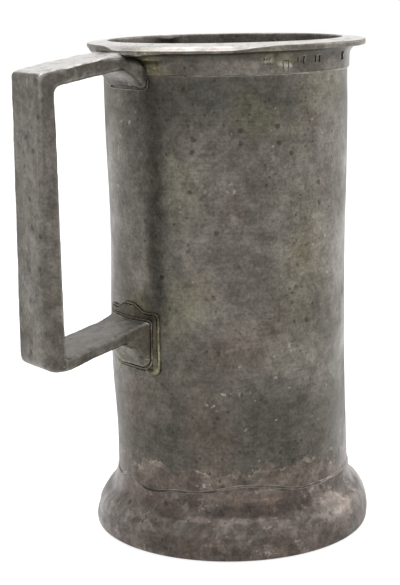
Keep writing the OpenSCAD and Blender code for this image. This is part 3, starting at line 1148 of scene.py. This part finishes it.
def pewter(name, patina, shift, metal, oxide, stain_tone, stain_amount, speck_amount, along, own_marks,
           top_light=0.0, grime=0.75):
    """A finish of old pewter: its own place in the pattern, its own tones and its own marks. Edges that stand
    out are paled, partly as wear and partly as a painted highlight; hollows are darkened, partly as grime and
    partly as painted shade; and faces that look upward can be given a painted highlight.
    """
    material = bpy.data.materials.new(name)
    material.use_nodes = True
    tree = material.node_tree
    shader = tree.nodes["Principled BSDF"]
    coords = put(tree, "TexCoord").outputs["Object"]
    surface = tree.nodes.new("ShaderNodeGroup")
    surface.node_tree = patina
    tree.links.new(put(tree, "Mapping", {"Vector": coords, "Location": shift}).outputs[0],
                   surface.inputs["Place"])
    tree.links.new(along(tree, coords), surface.inputs["Along"])
    for key, value in (("Metal", metal), ("Oxide", oxide), ("Stain", stain_tone)):
        surface.inputs[key].default_value = (*value, 1)
    surface.inputs["Stain amount"].default_value = stain_amount
    surface.inputs["Speck amount"].default_value = speck_amount
    colour = own_marks(tree, coords, surface.outputs["Colour"])
    colour = blend(tree, 1.0, colour, surface.outputs["Detail"], "MULTIPLY")
    colour = stain(tree, colour, surface.outputs["Pits"], 0.75, (0.026, 0.022, 0.018, 1))
    colour = stain(tree, colour, surface.outputs["Flecks"], 0.7, (0.36, 0.35, 0.30, 1))
    worn = put(tree, "Attribute", attribute_name="worn").outputs["Fac"]
    # Edges that stand out are paled: partly worn bright metal, partly a painted highlight on the edges.
    rubbed_and_lit = span(tree, worn, 0.58, 0.95)
    # Points in hollows are darkened: partly grime, partly painted shade in creases and corners.
    sunk_grime_and_shade = span(tree, worn, 0.44, 0.12)
    rough = surface.outputs["Roughness"]
    # Where asked, faces that look upward are paled, more so higher up: a painted highlight from the overhead
    # light.
    if top_light:
        upward = put(tree, "Attribute", attribute_name="upward").outputs["Fac"]
        broken = patches(tree, coords, 240, 0.30, 0.56, 4)
        lit_tops = times(tree, span(tree, upward, 0.72, 0.98), span(tree, broken, 0, 1, 0.55, 1))
        height = axes(tree, coords)[2]
        lit_tops = times(tree, lit_tops, span(tree, height, 100 * MM, 150 * MM, 0.12, 1))
        lit_tops = times(tree, lit_tops, top_light)
        colour = blend(tree, lit_tops, colour, (0.66, 0.63, 0.61, 1))
        rough = maths(tree, "SUBTRACT", rough, times(tree, lit_tops, 0.12))
    colour = stain(tree, colour, rubbed_and_lit, 0.6, (0.44, 0.42, 0.385, 1))
    # The grime amount sets how dark the hollows go, painted shade included.
    colour = stain(tree, colour, sunk_grime_and_shade, grime, (0.030, 0.026, 0.021, 1))
    bump_node = put(tree, "Bump", {"Height": surface.outputs["Height"], "Distance": 0.25 * MM,
                                   "Strength": 0.3})
    tree.links.new(colour, shader.inputs["Base Color"])
    tree.links.new(rough, shader.inputs["Roughness"])
    tree.links.new(bump_node.outputs[0], shader.inputs["Normal"])
    shader.inputs["Metallic"].default_value = 0.85
    return material


def finish(piece, material, slot, *nodes, reach=0.5 * MM):
    """Gives a piece its finish and its place on the object."""
    take(piece)
    close(piece)
    bpy.ops.object.shade_smooth_by_angle(angle=math.radians(38))
    piece.data.materials.clear()
    piece.data.materials.append(material)
    mark_relief(piece, reach)
    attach(piece, "root")
    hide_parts(*nodes)


# ---------------------------------------------------------------- the studio

def set_up_camera():
    """A long lens, a little above the lip, looking down at the vessel."""
    distance, height = 556.4 * MM, 206.6 * MM
    bearing = math.radians(-37.5)
    pitch, yaw, roll = math.radians(12.01), math.radians(-1.12), math.radians(-1.09)
    put_down()
    bpy.ops.object.camera_add()
    camera = bpy.context.object
    camera.matrix_world = (
        Matrix.Translation((distance * math.sin(bearing), -distance * math.cos(bearing), height))
        @ Matrix.Rotation(bearing - yaw, 4, "Z")
        @ Matrix.Rotation(math.pi / 2 - pitch, 4, "X")
        @ Matrix.Rotation(roll, 4, "Z"))
    camera.data.lens = 91.73
    camera.data.sensor_width = 36
    camera.data.clip_start = 0.01
    bpy.context.scene.camera = camera


def set_up_studio():
    """A glowing white floor and soft white light from above and all round."""
    put_down()
    bpy.ops.mesh.primitive_circle_add(vertices=64, radius=3, fill_type="NGON", location=(0, 0, -0.0002))
    floor = bpy.context.object
    floor.name = "studio_floor"
    material = bpy.data.materials.new("studio_white")
    material.use_nodes = True
    shader = material.node_tree.nodes["Principled BSDF"]
    for key, value in (("Base Color", (0.4, 0.4, 0.4, 1)), ("Roughness", 0.9),
                       ("Emission Color", (1, 1, 1, 1)), ("Emission Strength", 0.72)):
        shader.inputs[key].default_value = value
    floor.data.materials.append(material)

    def lamp(name, place, size, power):
        bpy.ops.object.light_add(type="AREA", location=place)
        light = bpy.context.object
        light.name = name
        light.rotation_euler = (Vector((0, 0, 0.1)) - Vector(place)).to_track_quat("-Z", "Y").to_euler()
        light.data.size = size
        light.data.energy = power

    lamp("overhead_softbox", (-0.1, 0.1, 1.1), 0.9, 9)
    lamp("right_softbox", (1.0, -0.3, 0.6), 0.9, 6)

    world = bpy.data.worlds.new("studio")
    bpy.context.scene.world = world
    world.use_nodes = True
    background = world.node_tree.nodes["Background"]
    background.inputs["Color"].default_value = (1, 1, 1, 1)
    background.inputs["Strength"].default_value = 1.0
    bpy.context.scene.view_settings.view_transform = "Standard"


# ---------------------------------------------------------------- the tankard

patina = patina_group()
drum_pewter = pewter("drum_pewter", patina, (0, 0, 0), (0.142, 0.129, 0.111), (0.094, 0.084, 0.071),
                     (0.100, 0.078, 0.060), 0.45, 0.7, round_vessel, drum_stains)
lip_pewter = pewter("lip_pewter", patina, (0.3, 0, 0), (0.168, 0.152, 0.132), (0.100, 0.089, 0.075),
                    (0.11, 0.088, 0.066), 0.35, 0.4, round_vessel, lip_stains, top_light=0.85)
foot_pewter = pewter("foot_pewter", patina, (0, 0.4, 0), (0.130, 0.109, 0.097), (0.086, 0.069, 0.060),
                     (0.115, 0.080, 0.062), 0.6, 0.5, round_vessel, foot_stains)
handle_pewter = pewter("handle_pewter", patina, (0, 0, 0.5), (0.131, 0.119, 0.104), (0.092, 0.082, 0.070),
                       (0.110, 0.090, 0.068), 0.4, 0.5, down_handle, pad_stains, top_light=0.8)
worn_solder = pewter("worn_solder", patina, (0.2, 0.2, 0), (0.24, 0.22, 0.18), (0.09, 0.08, 0.062),
                       (0.13, 0.12, 0.07), 0.5, 0.5, round_vessel, plain, grime=0.2)
pad_solder = pewter("fluxed_solder", patina, (0.1, 0.2, 0), (0.27, 0.25, 0.15), (0.085, 0.077, 0.050),
                    (0.16, 0.15, 0.075), 0.5, 0.6, round_vessel, flux_stains, grime=0.2)
foot_solder = pewter("crusted_solder", patina, (0.1, 0.1, 0), (0.120, 0.099, 0.084), (0.075, 0.061, 0.051),
                     (0.08, 0.06, 0.045), 0.6, 0.3, round_vessel, seam_crack)

finish(make_drum(), drum_pewter, "body", "drum")
finish(make_lip(), lip_pewter, "lip", "lip_ring")
finish(make_foot(), foot_pewter, "foot", "foot_ring")
finish(make_floor(), drum_pewter, "floor", "base_disc")
finish(make_handle(), handle_pewter, "handle", "handle")
finish(make_pad(), handle_pewter, "pad", "handle_pad", reach=1.2 * MM)
finish(make_pad_seam(), pad_solder, "solder", "pad_solder", reach=1.4 * MM)
finish(make_lower_root_seam(), pad_solder, "solder", "lower_root_solder", reach=1.4 * MM)
finish(make_upper_root_seam(), worn_solder, "solder", "upper_root_solder", reach=1.4 * MM)
finish(make_round_seam("lip_seam", SEAT_R, BAND_BOTTOM - GAP, 0.6 * MM, -0.6 * MM), worn_solder, "solder",
       "lip_solder")
foot_seam = make_round_seam("foot_seam", SEAT_R, FOOT_TOP + GAP, 0.4 * MM, 0.9 * MM)
crush(foot_seam)
wander(foot_seam, lambda co: 1)
finish(foot_seam, foot_solder, "solder", "foot_solder")
finish(make_round_seam("floor_seam", BORE_R - GAP, FLOOR_TOP + GAP, -1.2 * MM, 1.2 * MM), foot_solder,
       "solder",
       "base_solder")

set_up_camera()
set_up_studio()
